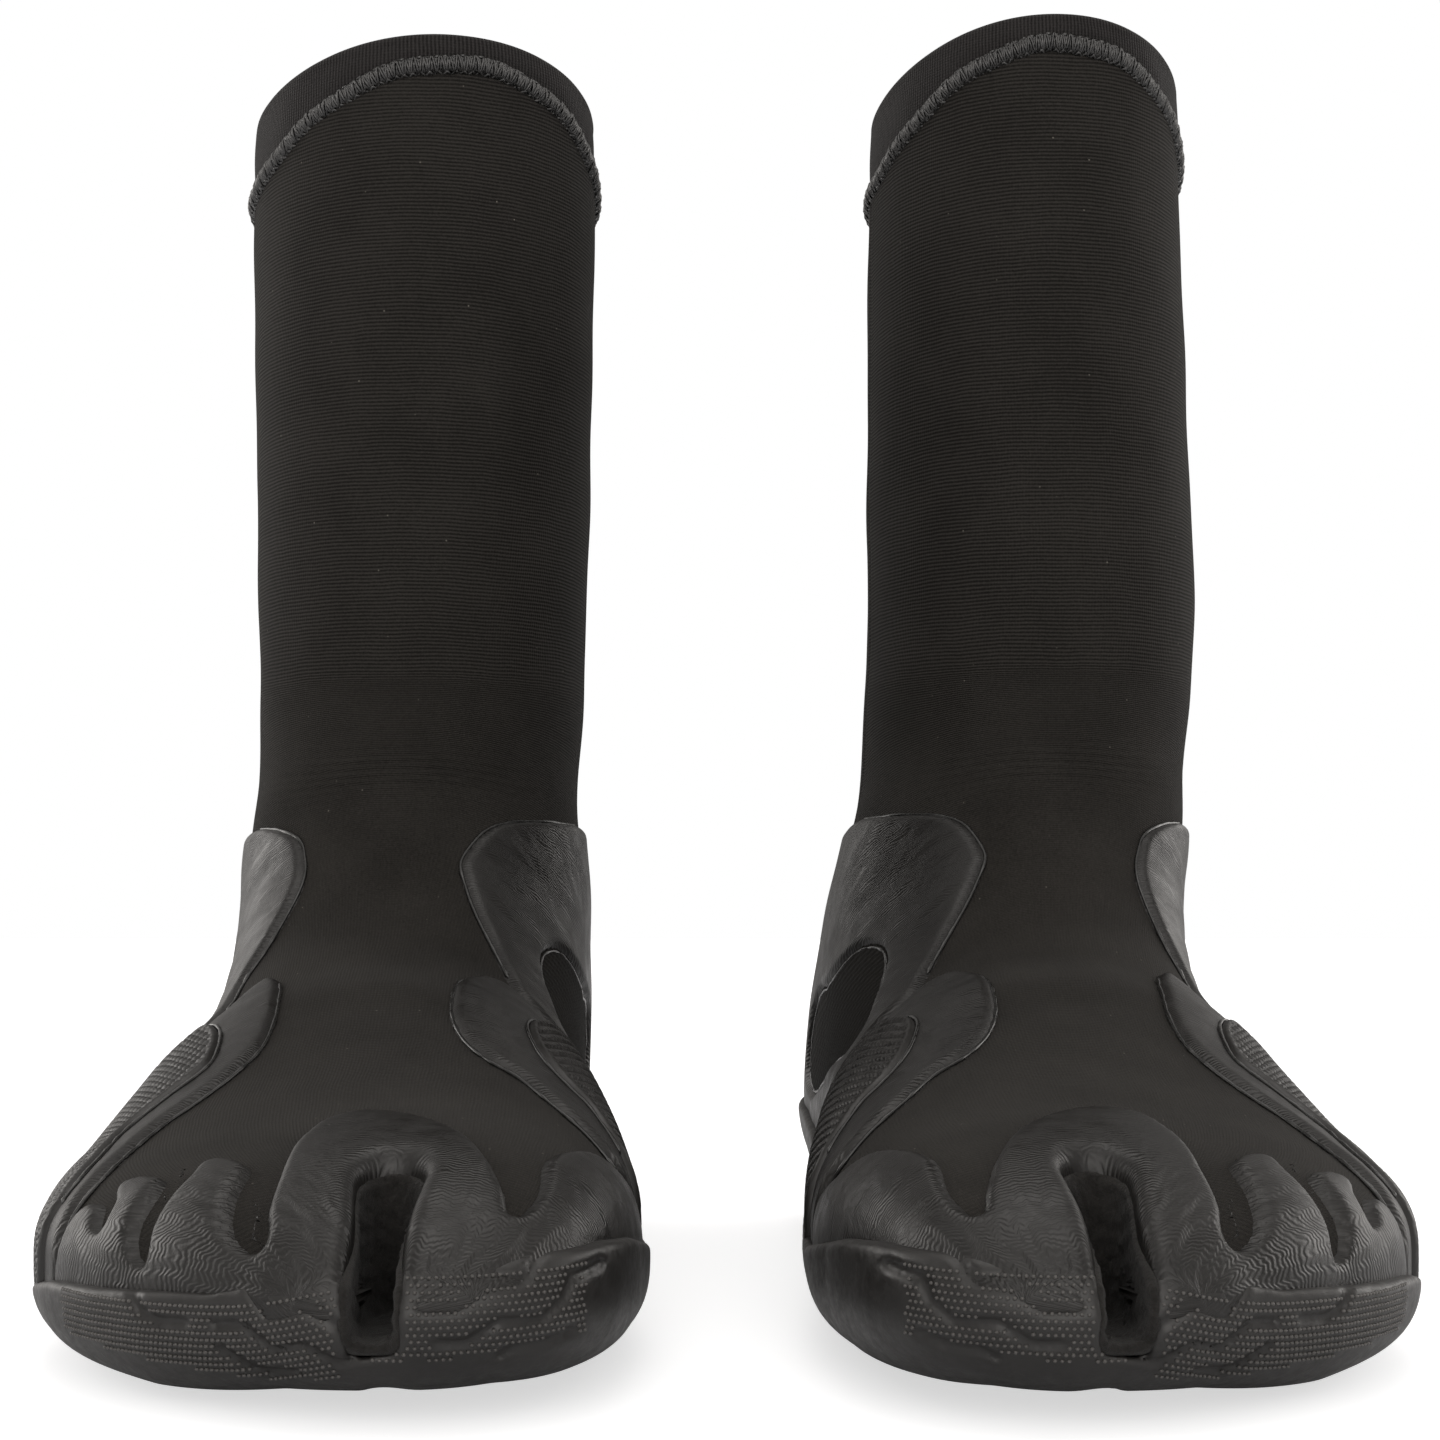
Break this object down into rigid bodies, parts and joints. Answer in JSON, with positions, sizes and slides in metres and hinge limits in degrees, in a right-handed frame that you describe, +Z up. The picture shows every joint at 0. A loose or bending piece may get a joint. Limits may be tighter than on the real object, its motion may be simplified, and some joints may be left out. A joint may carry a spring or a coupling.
{
  "type": "neoprene boots",
  "caption": "Pair of tall split-toe neoprene boots with moulded rubber skins, collar seam and cupped outsole, standing side by side.",
  "frame": {"origin": "on the ground under the middle of the pair's bounding box", "axes": "+X to the right across the pair as seen from the toes' front, towards the wearer's left boot; toes point to -Y and heels to +Y; +Z up"},
  "size_m": [0.246, 0.2882, 0.2771],
  "materials": {
    "neoprene": "matt knitted nylon face",
    "collar": "smooth ribbed jersey",
    "thread": "glossy thread",
    "lining": "plush",
    "rubber": "satin with fine wavy grain",
    "grip": "knurled",
    "slot": "fuzzy",
    "sole": "satin with moulded dots",
    "foam": "matt foam"
  },
  "bodies": {
    "right_boot": {"right_upper_front": "neoprene", "right_heel_panel": "neoprene", "right_foot_panel": "neoprene", "right_lining_shaft": "lining", "right_lining_foot": "lining", "right_collar_band": "collar", "right_collar_overlock": "thread", "right_collar_tape": "lining", "right_heel_wrap": "rubber", "right_achilles_strip": "rubber", "right_window_fabric": "neoprene", "right_midfoot_wing_medial": "rubber", "right_midfoot_wing_lateral": "rubber", "right_midfoot_grip_medial": "grip", "right_midfoot_grip_lateral": "grip", "right_toe_cap": "rubber", "right_slot_gusset": "slot", "right_outsole": "sole", "right_footbed": "foam"},
    "left_boot": {"left_upper_front": "neoprene", "left_heel_panel": "neoprene", "left_foot_panel": "neoprene", "left_lining_shaft": "lining", "left_lining_foot": "lining", "left_collar_band": "collar", "left_collar_overlock": "thread", "left_collar_tape": "lining", "left_heel_wrap": "rubber", "left_achilles_strip": "rubber", "left_window_fabric": "neoprene", "left_midfoot_wing_medial": "rubber", "left_midfoot_wing_lateral": "rubber", "left_midfoot_grip_medial": "grip", "left_midfoot_grip_lateral": "grip", "left_toe_cap": "rubber", "left_slot_gusset": "slot", "left_outsole": "sole", "left_footbed": "foam"}
  },
  "joints": [
    {"name": "left_boot_lift", "type": "slide", "parent": "right_boot", "child": "left_boot", "axis": [0, 0, 1], "range_m": [0, 0.3]}
  ]
}
